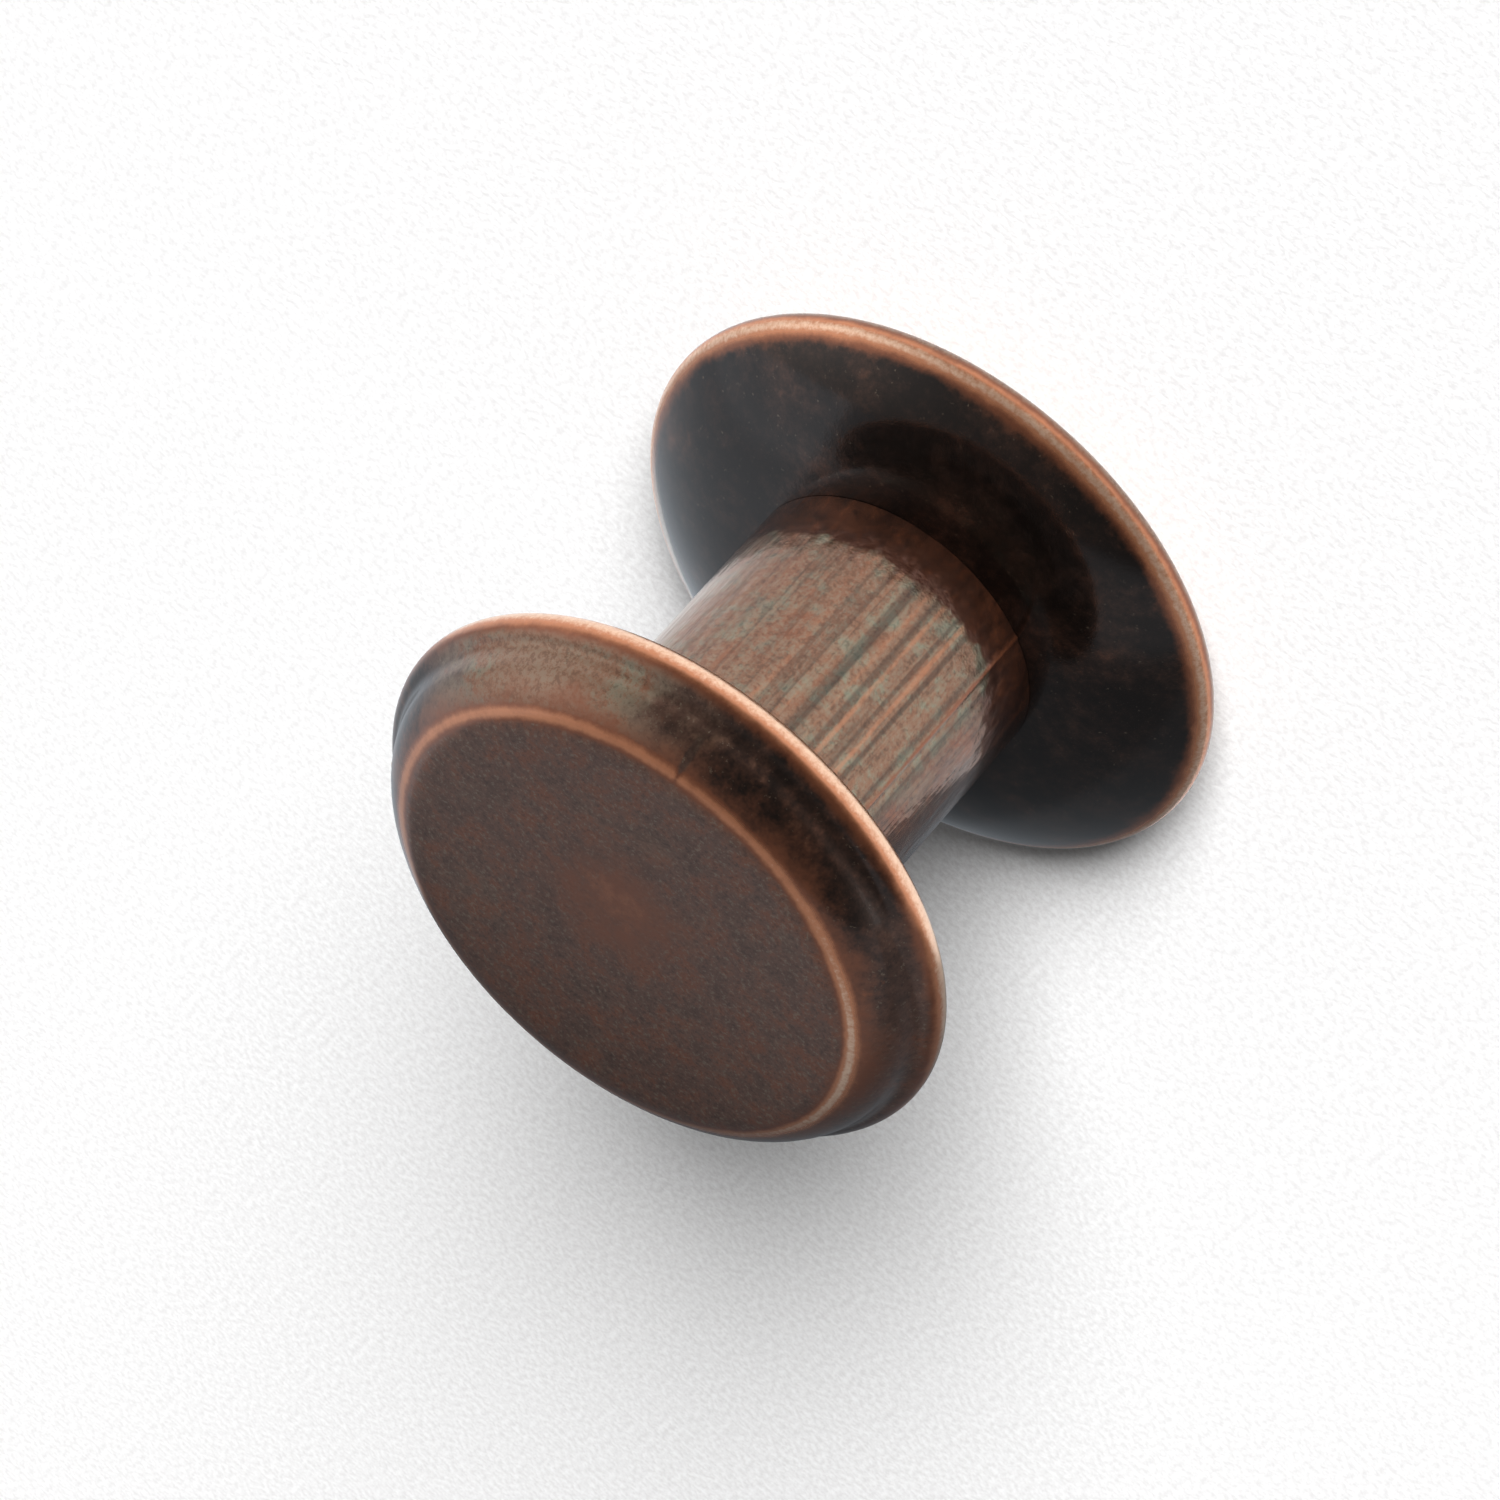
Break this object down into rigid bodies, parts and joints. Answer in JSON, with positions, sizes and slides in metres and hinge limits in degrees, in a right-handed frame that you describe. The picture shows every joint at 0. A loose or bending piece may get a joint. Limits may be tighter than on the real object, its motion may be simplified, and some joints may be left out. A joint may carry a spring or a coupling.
{
  "type": "binding barrel screw",
  "caption": "Low round-headed barrel with a hollow threaded post, closed by a slotted screw, to clamp leather, card or paper between their heads.",
  "frame": {"origin": "middle of the slotted head's flat face, which the part stands on", "axes": "+Z along the screw's axis, from the slotted head to the plain head; +X along the screwdriver slot"},
  "size_m": [0.0098, 0.0098, 0.0091],
  "materials": {
    "antique_copper": "antique copper plate on zinc, darkened and rubbed back at the edges, under clear lacquer"
  },
  "bodies": {
    "screw": {"slotted_screw": "antique_copper"},
    "barrel": {"plain_barrel": "antique_copper"}
  },
  "joints": [
    {"name": "unscrew", "type": "slide", "parent": "screw", "child": "barrel", "axis": [0, 0, 1], "range_m": [0, 0.007]}
  ]
}
